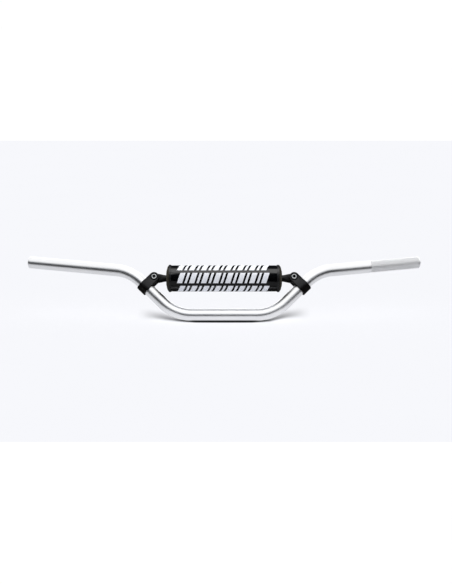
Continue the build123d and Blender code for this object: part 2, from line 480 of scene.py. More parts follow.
def handlebar():
    N = 60
    M2 = 2 * N
    pts, tans, ns, s = bar_samples()
    L = s[-1]
    th = np.arange(M2) * 2 * math.pi / M2
    b = Build()

    def frame_at(x):
        i = int(np.clip(np.searchsorted(s, x) - 1, 0, len(s) - 2))
        f = (x - s[i]) / (s[i + 1] - s[i])
        p = pts[i] * (1 - f) + pts[i + 1] * f
        t = tans[i] * (1 - f) + tans[i + 1] * f
        t /= np.linalg.norm(t)
        n = ns[i] * (1 - f) + ns[i + 1] * f
        n -= t * (n @ t)
        n /= np.linalg.norm(n)
        return p, t, n, np.cross(t, n)

    def ring(x, r, angles=th):
        p, t, n, m = frame_at(x)
        return b.add(p + r * (np.outer(np.cos(angles), n) + np.outer(np.sin(angles), m)))

    knurl_a, knurl_b = L - KNURL_LEN, L - 1.5
    outer = [(0.0, BAR_R - 1.05), (0.07, BAR_R - 0.86), (0.82, BAR_R - 0.08), (1.05, BAR_R)]
    outer += [(x, BAR_R) for x in s if 3.0 < x < knurl_a - 2.0]
    outer += [(knurl_a - 0.25, BAR_R), (knurl_a, BAR_R)]
    rings = [ring(x, r) for x, r in outer]
    for a, c in zip(rings, rings[1:]):
        b.bridge(a, c)
    smooth_faces = len(b.f)

    # diamond knurl: grooves cross at the lattice's points, and each diamond has a flat crest
    depth, half, run = 0.30, 0.62, 0.9
    rows = int((knurl_b - knurl_a - 2 * run) / half)
    rows -= rows % 2
    half = (knurl_b - knurl_a - 2 * run) / rows
    p0, t0, n0, m0 = frame_at(knurl_a + 1.0)
    x0 = knurl_a + 1.0

    def at(x, ang, r):
        return p0 + t0 * (x - x0) + r * (math.cos(ang) * n0 + math.sin(ang) * m0)

    step = 2 * math.pi / N
    lattice = []
    for i in range(rows + 1):
        x = knurl_a + run + i * half
        lattice.append(b.add([at(x, (k + 0.5 * (i % 2)) * step, BAR_R - depth) for k in range(N)]))
    q = 0.46
    for i in range(1, rows):
        x = knurl_a + run + i * half
        par = i % 2
        crest = []
        for k in range(N):
            c = (k + 0.5 * par + 0.5) * step
            crest += [at(x, c - q * step / 2, BAR_R), at(x - q * half, c, BAR_R), at(x, c + q * step / 2, BAR_R), at(x + q * half, c, BAR_R)]
        ids = b.add(crest)
        for k in range(N):
            left, right = lattice[i][k], lattice[i][(k + 1) % N]
            low, high = lattice[i - 1][(k + par) % N], lattice[i + 1][(k + par) % N]
            cl, cd, cr, cu = ids[4 * k: 4 * k + 4]
            b.f += [(left, low, cd, cl), (low, right, cr, cd), (right, high, cu, cr), (high, left, cl, cu), (cl, cd, cr, cu)]

    def zigzag(edge, inside):
        return [lattice[edge][j // 2] if j % 2 == 0 else lattice[inside][(j - 1) // 2] for j in range(M2)]

    b.bridge(rings[-1], zigzag(0, 1))
    tail = [(knurl_b, BAR_R), (L - 1.05, BAR_R), (L - 0.82, BAR_R - 0.08), (L - 0.07, BAR_R - 0.86), (L, BAR_R - 1.05)]
    end = [ring(x, r) for x, r in tail]
    b.bridge(zigzag(rows, rows - 1), end[0])
    knurl_faces = len(b.f)
    for a, c in zip(end, end[1:]):
        b.bridge(a, c)
    inner = [(L, BORE_R + 0.55), (L - 0.06, BORE_R + 0.46), (L - 0.5, BORE_R)]
    inner += [(x, BORE_R) for x in s[::-1][::2] if 2.0 < x < L - 2.0]
    inner += [(0.5, BORE_R), (0.06, BORE_R + 0.46), (0.0, BORE_R + 0.55)]
    inside = [ring(x, r) for x, r in inner]
    b.bridge(end[-1], inside[0])
    for a, c in zip(inside, inside[1:]):
        b.bridge(a, c)
    b.bridge(inside[-1], rings[0])
    o = make("handlebar", b, MAT["alloy"], sharp=28.0, transform=to_row)
    o.data.materials.append(MAT["knurl"])
    # which faces are knurled: by place along the end section
    tip = to_row(V3)[0] * 0.001
    axis = to_row(U)[0]
    tips = np.array(tip)
    cen = np.zeros(len(o.data.polygons) * 3)
    o.data.polygons.foreach_get("center", cen)
    cen = cen.reshape(-1, 3)
    along = (tips - cen) @ axis
    radial = np.linalg.norm((tips - cen) - np.outer(along, axis), axis=1)
    idx = ((along > 0.0014) & (along < KNURL_LEN * 0.001) & (radial > 0.0102) & (cen[:, 0] > 0)).astype(np.int32)
    o.data.polygons.foreach_set("material_index", idx)
    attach(o, "bar")
    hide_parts("handlebar_tube")
    return o


# ---------------------------------------------------------------------------
# Cross brace
# ---------------------------------------------------------------------------
def crossbar():
    bx = BOLT_C[0]
    xs_key = [0, 107.2, 109.5, 112.0, 114.5, 117.0, 119.5, 122.0, 124.5, bx]
    w_key = [6.0, 6.0, 6.12, 6.5, 7.0, 7.5, 8.0, 8.38, 8.5, 8.5]
    t_key = [6.0, 6.0, 5.8, 5.3, 4.8, 4.35, 4.02, 3.9, 3.9, 3.9]
    n_key = [2.0, 2.0, 2.1, 2.5, 3.0, 3.8, 4.8, 6.0, 7.0, 7.0]
    xs = list(np.linspace(0, 104, 14)) + list(np.linspace(106, 128, 30)) + list(bx + 8.5 * np.sin(np.linspace(0.0, math.pi / 2 * 0.985, 14)))
    xs = sorted(set(round(x, 4) for x in xs))
    segs = 64
    a = (np.arange(segs) + 0.5) * 2 * math.pi / segs
    b = Build()
    rings = []
    for x in [-v for v in xs[::-1]] + xs[1:]:
        ax = abs(x)
        w, t, n = (np.interp(ax, xs_key, k) for k in (w_key, t_key, n_key))
        if ax > bx:
            w = math.sqrt(max(8.5 ** 2 - (ax - bx) ** 2, 0.05))
        ca, sa = np.cos(a), np.sin(a)
        # the corners' radius stays the same as the eye narrows
        y = t * np.sign(ca) * np.abs(ca) ** (2 / n)
        z = w * np.sign(sa) * np.abs(sa) ** (2 / n)
        rings.append(b.add(np.stack([np.full(segs, x), y, z + BOLT_C[2]], 1)))
    for r1, r2 in zip(rings, rings[1:]):
        b.bridge(r1, r2)
    b.f.append(tuple(rings[0][::-1]))
    b.f.append(tuple(rings[-1]))
    o = make("cross_brace", b, MAT["brace"], sharp=40.0, transform=to_row)
    # the two eye holes
    for side in (1, -1):
        hb, rr = lathe([(3.3, -12), (3.3, 12)], 48, closed=False)
        hb.f.append(tuple(rr[0][::-1]))
        hb.f.append(tuple(rr[-1]))
        cutter = make("cut", hb, MAT["brace"], transform=clamp_local(side))
        mod = o.modifiers.new("hole", "BOOLEAN")
        mod.operation, mod.solver, mod.object = "DIFFERENCE", "EXACT", cutter
        dg = bpy.context.evaluated_depsgraph_get()
        me = bpy.data.meshes.new_from_object(o.evaluated_get(dg))
        o.modifiers.clear()
        o.data = me
        bpy.data.objects.remove(cutter)
    me = o.data
    me.polygons.foreach_set("use_smooth", [True] * len(me.polygons))
    me.set_sharp_from_angle(angle=math.radians(40))
    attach(o, "bar")
    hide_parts("crossbar")
    return o


# ---------------------------------------------------------------------------
# Clamps: the CAD's own shape with its edges rounded
# ---------------------------------------------------------------------------
def rounded_copy(node_name, name, mat, width_mm, body, sharp=30.0):
    src = NODES[node_name]
    me = src.data.copy()
    me.name = name
    bm = bmesh.new()
    bm.from_mesh(me)
    bmesh.ops.remove_doubles(bm, verts=bm.verts, dist=2e-6)
    bmesh.ops.dissolve_limit(bm, angle_limit=math.radians(0.6), verts=bm.verts, edges=bm.edges)
    bmesh.ops.recalc_face_normals(bm, faces=bm.faces)
    bm.to_mesh(me)
    bm.free()
    me.materials.clear()
    me.materials.append(mat)
    me.polygons.foreach_set("use_smooth", [True] * len(me.polygons))
    o = bpy.data.objects.new(name, me)
    bpy.context.scene.collection.objects.link(o)
    mod = o.modifiers.new("edges", "BEVEL")
    mod.width = width_mm * 0.001
    mod.segments = 3
    mod.limit_method = "ANGLE"
    mod.angle_limit = math.radians(sharp)
    mod.harden_normals = False
    mod.use_clamp_overlap = True
    dg = bpy.context.evaluated_depsgraph_get()
    done = bpy.data.meshes.new_from_object(o.evaluated_get(dg))
    o.modifiers.clear()
    o.data = done
    done.polygons.foreach_set("use_smooth", [True] * len(done.polygons))
    done.set_sharp_from_angle(angle=math.radians(38))
    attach(o, body)
    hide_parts(node_name)
    return o


# ---------------------------------------------------------------------------
# Bolts, washers, lock nuts
# ---------------------------------------------------------------------------
FLOOR_L = 13.85 - 6.2
HEAD_L = FLOOR_L + 0.04 + 1.58


def bolt(side, word):
    segs = 96
    prof, kind = [], []

    def put(r, z, k=0):
        prof.append((r, z))
        kind.append(k)

    put(0.01, -25.0)
    put(1.9, -25.0)
    put(2.35, -24.93)
    z = -24.4
    n = 130
    for i in range(n + 1):
        put(3.0, z + (22.6 - 0.2) * i / n, 1)
    put(2.98, -1.75)
    put(2.98, -0.35)
    put(3.15, -0.06)
    put(3.4, 0.0)
    put(4.55, 0.0)
    put(4.82, 0.12)
    put(4.93, 0.35)
    put(5.0, 0.6, 2)
    put(5.0, 5.1, 2)
    put(4.93, 5.35)
    put(4.82, 5.62)
    put(4.6, 5.88)
    put(4.3, 6.0)
    put(3.25, 6.0)
    put(3.05, 5.9)
    put(2.51, 5.55, 3)
    put(2.51, 5.40, 3)
    put(2.51, 2.9, 3)
    put(2.25, 2.8, 3)
    put(0.01, 2.1)
    ridge = 0.14 * (np.arange(segs) % 3 == 0)

    def shape(th, r, z, i):
        k = kind[i]
        if k == 1:  # the M6 thread, one right-hand turn per millimetre on both sides
            ph = (z - side * th / (2 * math.pi)) % 1.0
            tri = np.abs(ph - 0.5) * 2
            fade = min(1.0, max(0.0, (z + 24.9) / 0.9), max(0.0, (-2.0 - z) / 0.8) + 0.0)
            return 2.985 - 0.56 * np.clip(tri * 1.25 - 0.12, 0, 1) * fade - 0.25 * max(0.0, 1 - (z + 24.9) / 0.9)
        if k == 2:
            return r - ridge
        if k == 3:
            return r / np.cos((th % (math.pi / 3)) - math.pi / 6)
        return np.full(segs, float(r))

    b, _ = lathe([(r, z + HEAD_L) for r, z in prof], segs, lambda th, r, z, i: shape(th, r, z - HEAD_L, i), closed=False)
    o = make(f"{word}_bolt", b, MAT["zinc"], sharp=32.0, transform=clamp_local(side))
    # the hex socket's faces take the dark black-oxide material: painted shade in the recess
    o.data.materials.append(MAT["oxide_and_socket_shade"])
    centre = to_row((CLAMP_C + BOLT_OFF * S) * (1 if side > 0 else MIRROR))[0] * 0.001
    ax = to_row([0, -1.0, 0])[0]
    for f in o.data.polygons:
        d = np.array(f.center) - centre
        z = d @ ax
        if z > (HEAD_L + 1.9) * 0.001 and np.linalg.norm(d - z * ax) < 0.00285 and z < (HEAD_L + 5.6) * 0.001:
            f.material_index = 1
    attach(o, f"{word}_bolt")
    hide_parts(f"{word}_clamp_bolt")
    return o


def washer(side, word):
    z0, z1 = FLOOR_L + 0.02, FLOOR_L + 0.02 + 1.58
    prof = [(3.2, z0 + 0.12), (3.32, z0), (5.78, z0), (5.93, z0 + 0.06), (6.0, z0 + 0.25), (6.0, z1 - 0.25), (5.93, z1 - 0.06), (5.78, z1), (3.32, z1), (3.2, z1 - 0.12)]
    b, _ = lathe(prof, 72)
    o = make(f"{word}_washer_ring", b, MAT["oxide_and_socket_shade"], transform=clamp_local(side))
    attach(o, f"{word}_washer_seat")
    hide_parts(f"{word}_washer")


def nut(side, word):
    segs = 96
    base = -(13.85 - 5.2)  # pocket floor, the nut faces the rear
    prof, kind = [], []

    def put(r, z, k=0):
        prof.append((r, z))
        kind.append(k)

    put(3.05, 0.35)
    put(3.4, 0.02)
    put(4.75, 0.0)
    for z in np.linspace(0.0, 0.5, 5):
        put(4.95 + 1.9 * z, 0.02 + z, 1)
    put(9.0, 2.3, 1)
    for z in np.linspace(0.6, 0.0, 6):
        put(4.75 + 1.9 * z, 4.7 - z, 1)
    put(4.5, 4.72)
    put(4.5, 5.3)
    put(4.42, 5.65)
    put(4.22, 5.88)
    put(4.0, 5.96)
    put(3.86, 5.88)
    put(3.98, 5.74)
    put(4.0, 4.32)
    put(3.4, 4.3)
    put(3.05, 4.2)

    def shape(th, r, z, i):
        if kind[i] == 1:
            return np.minimum(5.0 / np.cos((th % (math.pi / 3)) - math.pi / 6), r)
        return np.full(segs, float(r))

    b, _ = lathe([(r, base - z) for r, z in prof], segs, lambda th, r, z, i: shape(th, r, base - z, i))
    o = make(f"{word}_nut", b, MAT["zinc"], sharp=30.0, transform=clamp_local(side))
    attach(o, "bar")
    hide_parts(f"{word}_lock_nut")
    prof = [(3.03, 4.5), (3.2, 4.34), (3.8, 4.34), (3.95, 4.5), (3.95, 5.5), (3.82, 5.68), (3.2, 5.7), (3.03, 5.52)]
    b, _ = lathe([(r, base - z) for r, z in prof], 72)
    o = make(f"{word}_nylon_ring", b, MAT["nylon"], sharp=60.0, transform=clamp_local(side))
    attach(o, "bar")
    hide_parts(f"{word}_nut_insert")


# ---------------------------------------------------------------------------
# Bar pad
# ---------------------------------------------------------------------------
def pad_xyz(x, r, deg):
    """Points of the pad from place along the brace, radius and angle. 0 degrees is the rear, 90 is up."""
    x, r, deg = np.broadcast_arrays(np.asarray(x, float), np.asarray(r, float), np.asarray(deg, float))
    a = np.radians(deg)
    return np.stack([x.ravel(), PAD_Y + (r * np.cos(a)).ravel(), PAD_Z + (r * np.sin(a)).ravel()], 1)


def ripple(x, deg):
    """How far the cover's face stands from its plain radius, in mm: soft puckers that die away from the two hems, and a slow unevenness."""
    a = np.radians(deg)
    x = np.asarray(x, float)
    edge = np.exp(-(100.0 - np.abs(x)).clip(0) / 9.0)
    side = np.where(x > 0, 1.0, -1.0)
    puck = np.sin(17 * a + 1.3 * side) * 0.5 + np.sin(26 * a + 0.6 + side) * 0.32 + np.sin(9 * a - 2.0 * side) * 0.4
    slow = np.sin(x / 27.0 + 2.1 * np.sin(a * 2 + 0.4)) * 0.06 + np.sin(a * 5 + x / 41.0) * 0.05
    return edge * puck * 0.20 + slow - 0.10 * np.exp(-((np.abs(x) - 95.5) / 1.6) ** 2)


def cover_r(x, deg):
    """The outer face of the cover."""
    x = np.asarray(x, float)
    crown = 0.10 * (1 - (x / 102.0) ** 2)
    return 24.22 + crown + ripple(x, deg)


XS = np.unique(np.concatenate([np.linspace(-102, -84, 31), np.linspace(-84, 84, 85), np.linspace(84, 102, 31)]))


def shell(name, mat, xs, degs, outer, thick, closed=False, sharp=45.0, edge_round=True):
    """A sheet between the outer radius and a thickness below it, with rounded rims; the corners of an open one are left
    unfilled.
    """
    b = Build()
    X, G = np.meshgrid(xs, degs, indexing="ij")
    R = outer(X, G)
    top = np.array(b.add(pad_xyz(X, R, G))).reshape(X.shape)
    low = np.array(b.add(pad_xyz(X, R - thick, G))).reshape(X.shape)
    b.grid(top, closed_v=closed)
    b.grid(low[:, ::-1], closed_v=closed)

    def rim(x, g, r, outx, outg):
        """Three more points across the sheet's edge, so that it reads as folded."""
        cols = []
        for k, push in ((0.22, 0.72), (0.5, 1.0), (0.78, 0.72)):
            cols.append(np.array(b.add(pad_xyz(x + outx * push * thick * 0.32, r - thick * k, g + outg * push * thick * 0.32 / 24.3 * 57.3))))
        return cols

    for i, sx in ((0, -1), (-1, 1)):
        c = rim(X[i], G[i], R[i], sx, 0)
        line = [top[i], *c, low[i]]
        for p, q in zip(line, line[1:]):
            b.bridge(list(map(int, p)), list(map(int, q)), closed=closed)
    if not closed:
        for j, sg in ((0, -1), (-1, 1)):
            c = rim(X[:, j], G[:, j], R[:, j], 0, sg)
            line = [top[:, j], *c, low[:, j]]
            for p, q in zip(line, line[1:]):
                b.bridge(list(map(int, p)), list(map(int, q)), closed=False)
            # the corners between the two kinds of rim are left open
        for i in (0, -1):
            for j in (0, -1):
                pass
    return make(name, b, mat, sharp=sharp)


def stitches(name, path, normals, mat, length=2.6, gap=1.2, wide=0.52, high=0.36, closed=True):
    """A row of stitches along a line of points, each a small rounded thread that dips in at both ends."""
    path, normals = np.asarray(path, float), np.asarray(normals, float)
    if closed:
        path, normals = np.vstack([path, path[:1]]), np.vstack([normals, normals[:1]])
    seg = np.linalg.norm(np.diff(path, axis=0), axis=1)
    s = np.concatenate([[0], np.cumsum(seg)])
    n = int(s[-1] / (length + gap))
    pitch = s[-1] / n
    b = Build()
    around = np.arange(8) * 2 * math.pi / 8
    for i in range(n):
        a = i * pitch + (pitch - length) / 2
        rings = []
        for k in range(7):
            t = k / 6
            x = a + t * length
            p = np.array([np.interp(x, s, path[:, c]) for c in range(3)])
            q = np.array([np.interp(min(x + 0.2, s[-1]), s, path[:, c]) for c in range(3)]) - np.array([np.interp(max(x - 0.2, 0), s, path[:, c]) for c in range(3)])
            q /= np.linalg.norm(q)
            nn = np.array([np.interp(x, s, normals[:, c]) for c in range(3)])
            nn -= q * (nn @ q)
            nn /= np.linalg.norm(nn)
            w = math.sin(math.pi * (0.12 + 0.76 * t)) ** 0.6
            lift = math.sin(math.pi * t) ** 0.7 * 0.22 - 0.10
            side = np.cross(q, nn)
            rings.append(b.add(p + nn * lift + np.outer(np.cos(around) * wide / 2 * w, side) + np.outer(np.sin(around) * high / 2 * w, nn)))
        for r1, r2 in zip(rings, rings[1:]):
            b.bridge(r1, r2)
        b.f.append(tuple(rings[0][::-1]))
        b.f.append(tuple(rings[-1]))
    o = make(name, b, mat, sharp=60.0)
    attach(o, "pad")
    return o


def pad():
    # foam core, slit along the rear
    b = Build()
    degs = np.concatenate([[1.1], np.arange(4, 357, 4.0), [358.9]])
    xs = np.linspace(-99.6, 99.6, 40)
    X, G = np.meshgrid(xs, degs, indexing="ij")
    top = np.array(b.add(pad_xyz(X, 22.8 + 0.08 * np.sin(X / 9.0 + np.radians(G) * 3), G))).reshape(X.shape)
    low = np.array(b.add(pad_xyz(X, 6.42 + 0.0 * X, np.where(G < 2, 3.6, np.where(G > 358, 356.4, G))))).reshape(X.shape)
    b.grid(top)
    b.grid(low[:, ::-1])
    for i in (0, -1):
        b.bridge(list(map(int, top[i])), list(map(int, low[i])), closed=False)
    for j in (0, -1):
        b.bridge(list(map(int, top[:, j])), list(map(int, low[:, j])), closed=False)
    core = make("pad_core", b, MAT["foam"], sharp=50.0)
    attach(core, "pad")
    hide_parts("pad_foam_core")

    # the cover: a wrap that meets at the rear, and the flap that closes over it
    degs = np.linspace(-20.0, 338.0, 253)
    wrap = shell("pad_wrap", MAT["vinyl"], XS, degs, cover_r, 1.0)
    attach(wrap, "pad")
    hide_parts("pad_cover")

    def flap_r(x, g):
        lift = np.clip((g + 33.0) / 12.0, 0, 1)
        lift = lift * lift * (3 - 2 * lift)
        lip = np.clip((g - 16.0) / 6.0, 0, 1)
        end = np.clip((np.abs(x) - 91.0) / 6.0, 0, 1)
        return cover_r(x, g) + 1.02 + 1.02 * lift - 0.35 * lip * lip - 0.25 * end * end * lift + 0.05 * np.sin(x / 11.0) * lift

    xf = np.linspace(-97.0, 97.0, 130)
    flap = shell("pad_flap", MAT["vinyl"], xf, np.linspace(-34.0, 22.0, 57), flap_r, 0.95)
    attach(flap, "pad")

    # hook and loop strips under the flap
    for name, node_name, r1, thick in (("pad_loop_tape", "pad_loop_strip", 24.78, 0.36), ("pad_hook_tape", "pad_hook_strip", 25.24, 0.36)):
        tape = shell(name, MAT["tape"], np.linspace(-94.5, 94.5, 64), np.linspace(-15.6, 17.4, 34), lambda x, g, r1=r1: r1 + ripple(x, g) * 0.5 + 0.02 * np.sin(x * 3.1) * np.sin(g * 2.3), thick)
        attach(tape, "pad")
        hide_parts(node_name)

    # bindings round both hems, end panels, stitching
    for word, sx in (("left", 1), ("right", -1)):
        degs = np.arange(0, 360, 2.0)
        # tape folded double: the outer leg, the fold at the hem's edge, then the inner leg back to the seam
        prof = [(98.2, 24.90), (98.22, 25.18), (98.6, 25.26), (99.3, 25.30), (100.2, 25.26), (101.0, 25.32), (101.8, 25.40), (102.3, 25.34), (102.58, 25.1), (102.6, 24.75),
                (102.4, 24.50), (101.6, 24.44), (100.0, 24.43), (98.5, 24.43), (98.3, 24.46), (98.3, 24.78), (98.5, 24.81), (100.0, 24.83), (101.6, 24.84), (101.9, 24.87), (101.6, 24.90), (100.0, 24.89), (98.6, 24.88)]
        b = Build()
        rings = []
        for k, (x, r) in enumerate(prof):
            wob = 0.07 * np.sin(np.radians(degs) * 23 + k * 0.4) + 0.05 * np.sin(np.radians(degs) * 11 + sx)
            rr = r + (wob if r > 25.0 else 0.0)
            rings.append(b.add(pad_xyz(sx * x + 0 * degs, rr + 0 * degs, degs)))
        for r1, r2 in zip(rings, rings[1:] + rings[:1]):
            b.bridge(r1, r2)
        bind = make(f"{word}_hem_binding", b, MAT["binding"], sharp=60.0)
        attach(bind, "pad")
        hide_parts(f"{word}_pad_binding")
        fine = np.arange(0, 360, 1.0)
        line = pad_xyz(sx * 99.9 + 0 * fine, 25.30 + 0 * fine, fine)
        nor = pad_xyz(0 * fine, 1.0 + 0 * fine, fine) - np.array([0, PAD_Y, PAD_Z])
        stitches(f"{word}_hem_stitches", line, nor, MAT["thread"])
        end_panel(word, sx)

    # stitching along the flap's two edges
    xs = np.linspace(-94.5, 94.5, 190)
    for name, deg, add in (("flap_seam_stitches", -30.0, 0.10), ("flap_edge_stitches", 18.6, 0.06)):
        r = flap_r(xs, np.full_like(xs, deg)) + add
        line = pad_xyz(xs, r, deg + 0 * xs)
        nor = pad_xyz(0 * xs, 1.0 + 0 * xs, deg + 0 * xs) - np.array([0, PAD_Y, PAD_Z])
        stitches(name, line, nor, MAT["thread"], closed=False)
    pad_print()


def swell(points, faces, pinned, pressure, grow, frames=20, scale=10.0):
    """Run Blender's Cloth on a closed shell with a pinned rim, and give back where its points went. Millimetres in and out."""
    me = bpy.data.meshes.new("swell")
    me.from_pydata((np.asarray(points) * 0.001 * scale).tolist(), [], faces)
    me.validate()
    o = bpy.data.objects.new("swell", me)
    bpy.context.scene.collection.objects.link(o)
    bm = bmesh.new()
    bm.from_mesh(me)
    bmesh.ops.recalc_face_normals(bm, faces=bm.faces)
    bm.to_mesh(me)
    bm.free()
    vg = o.vertex_groups.new(name="pin")
    vg.add([int(i) for i in pinned], 1.0, "REPLACE")
    mod = o.modifiers.new("cloth", "CLOTH")
    c = mod.settings
    c.quality = 8
    c.mass = 0.15
    c.tension_stiffness = c.compression_stiffness = 12.0
    c.shear_stiffness = 4.0
    c.bending_stiffness = 0.08
    c.tension_damping = c.compression_damping = 8.0
    c.air_damping = 2.0
    c.vertex_group_mass = "pin"
    c.shrink_min = -grow
    c.use_pressure = True
    c.uniform_pressure_force = pressure
    c.effector_weights.gravity = 0.0
    mod.collision_settings.use_collision = False
    mod.point_cache.frame_start, mod.point_cache.frame_end = 1, frames
    sc = bpy.context.scene
    for f in range(1, frames + 1):
        sc.frame_set(f)
        ev = o.evaluated_get(bpy.context.evaluated_depsgraph_get())
        got = np.empty(len(me.vertices) * 3)
        ev.data.vertices.foreach_get("co", got)
    sc.frame_set(1)
    bpy.data.objects.remove(o)
    bpy.data.meshes.remove(me)
    return got.reshape(-1, 3) / (0.001 * scale)


PANEL_MOVED = {}


def end_panel(word, sx):
    """A stuffed end panel: cloth between the hem and the hole for the brace, swollen by its filling and gathered at the seam."""
    rim = [(100.4, 6.6), (100.4, 22.8), (102.2, 22.95), (102.3, 23.9), (102.5, 24.15), (102.75, 24.05)]
    key_r = [23.7, 20.5, 15.5, 11.0, 8.6, 7.3, 6.7]
    key_x = [102.9, 104.45, 105.85, 106.8, 107.15, 107.1, 106.7]
    segs = 144
    th = np.arange(segs) * 360.0 / segs
    a = np.radians(th)
    rs = np.concatenate([np.linspace(23.7, 8.6, 22), [8.0, 7.4, 6.95, 6.62]])

    def face(r, gathers):
        x = np.interp(-r, [-v for v in key_r], key_x)
        near = np.clip((r - 9.0) / 14.5, 0, 1)
        g = np.sin(a * 19 + 0.8 * sx) * 0.55 + np.sin(a * 31 + 1.1) * 0.30 + np.sin(a * 8 - sx) * 0.35
        fold = g * (near ** 1.6) * (1 - near) * 0.85 * gathers
        soft = 0.10 * np.sin(a * 3 + r * 0.35 + sx) * near * (1 - near) * 4 * gathers
        return x + fold + soft - 0.12

    front = np.array([np.stack([face(r, 0.35), np.full(segs, r), th], 1) for r in rs])
    # the shell to swell: the front, closed by a pinned flat back
    back = front[::-1].copy()
    back[:, :, 0] = 101.0
    b = Build()
    rings = [b.add(pad_xyz(sx * q[:, 0], q[:, 1], q[:, 2])) for q in front]
    rings += [b.add(pad_xyz(sx * q[:, 0], q[:, 1], q[:, 2])) for q in back]
    for r1, r2 in zip(rings, rings[1:] + rings[:1]):
        b.bridge(r1, r2)
    n = len(rs)
    free = [k for k in range(n) if 1 <= k and rs[k] >= 9.0]
    pinned = [i for k in range(2 * n) if k not in free for i in rings[k]]
    before = b.points()
    after = swell(before, b.f, pinned, pressure=6.0, grow=0.07)
    step = after - before
    far_moved = np.linalg.norm(step, axis=1)
    cap = 0.85
    step *= np.minimum(1.0, cap / np.maximum(far_moved, 1e-9))[:, None]
    # no lower than the filling under it, no further out than the neck
    moved = before + step
    out = np.clip(sx * moved[: n * segs, 0], front[:, :, 0].ravel() - 0.5, 107.35)
    moved[: n * segs, 0] = sx * out
    PANEL_MOVED[word] = [round(float(far_moved.max()), 3), round(float(np.linalg.norm(moved[: n * segs] - before[: n * segs], axis=1).max()), 3)]
    pts = moved[: n * segs]
    b = Build()
    rings = [b.add(pad_xyz(sx * x + 0 * th, r + 0 * th, th)) for x, r in rim]
    rings += [b.add(pts[k * segs:(k + 1) * segs]) for k in range(len(rs))]
    rings.append(b.add(pad_xyz(sx * 104.0 + 0 * th, 6.6 + 0 * th, th)))
    for r1, r2 in zip(rings, rings[1:] + rings[:1]):
        b.bridge(r1, r2)
    o = make(f"{word}_end_panel", b, MAT["panel"], sharp=50.0)
    mod = o.modifiers.new("fine", "SUBSURF")
    mod.levels = mod.render_levels = 1
    done = bpy.data.meshes.new_from_object(o.evaluated_get(bpy.context.evaluated_depsgraph_get()))
    o.modifiers.clear()
    o.data = done
    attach(o, "pad")
    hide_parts(f"{word}_pad_end_panel")
    return o


def pad_print():
    """A generic print: rows of slanted bars, thick and thin in turn, as a raised ink film on the cover."""
    up0, pitch, height = 9.65, 59.5, 19.6
    slant, thick, thin, gap = 6.4, 9.6, 4.4, 4.1
    start = -87.2
    b = Build()
    r_mid = 24.3
    for k in (-2, -1, 0, 1, 2):
        centre = 180.0 - (up0 + pitch * k)
        x = start
        for i in range(15):
            w = thick if i % 2 == 0 else thin
            nu, nv = max(3, int(w / 1.2) + 1), 18
            u, v = np.meshgrid(np.linspace(0, 1, nu), np.linspace(0, 1, nv), indexing="ij")
            px = x + u * w + v * slant
            deg = centre - (v - 0.5) * height / r_mid * 57.2958
            top_r = cover_r(px, deg) + 0.11
            # the film's edges run down into the cover
            edge = (u < 0.001) | (u > 0.999) | (v < 0.001) | (v > 0.999)
            top_r = np.where(edge, cover_r(px, deg) + 0.07, top_r)
            t = np.array(b.add(pad_xyz(px, top_r, deg))).reshape(u.shape)
            lo = np.array(b.add(pad_xyz(px, cover_r(px, deg) - 0.10, deg))).reshape(u.shape)
            b.grid(t)
            b.grid(lo[:, ::-1])
            for p, q in ((t[0], lo[0]), (t[-1], lo[-1]), (t[:, 0], lo[:, 0]), (t[:, -1], lo[:, -1])):
                b.bridge(list(map(int, p)), list(map(int, q)), closed=False)
            x += w + gap
    o = make("pad_print", b, MAT["ink"], sharp=40.0)
    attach(o, "pad")
    return o


# ---------------------------------------------------------------------------
# Build
# ---------------------------------------------------------------------------
handlebar()
crossbar()
for word, side in (("left", 1), ("right", -1)):
    rounded_copy(f"{word}_clamp", f"{word}_brace_clamp", MAT["anod"], 0.35, "bar")
    bolt(side, word)
    washer(side, word)
    nut(side, word)
pad()

# ---------------------------------------------------------------------------
# Studio: pale floor, broad overhead light, camera low at the front
# ---------------------------------------------------------------------------
scene = bpy.context.scene
scene.view_settings.view_transform = "Standard"
scene.view_settings.look = "None"


def linked(name, keep):
    """A collection of the shown pieces whose names pass the test, for a light to fall on."""
    c = bpy.data.collections.new(name)
    for o in PARTS:
        if keep(o.name):
            c.objects.link(o)
    return c


PARTS = [o for o in scene.objects if o.type == "MESH"]
TUBE_NAME = "handlebar"
ON_TUBE = linked("on_tube", lambda n: n == TUBE_NAME)
ON_PAD = linked("on_pad", lambda n: n.startswith("pad_") or "hem_binding" in n or "end_panel" in n or "stitch" in n)
ON_HARDWARE = linked("on_hardware", lambda n: n != TUBE_NAME and n not in ON_PAD.objects)
ON_PART = linked("on_part", lambda n: True)


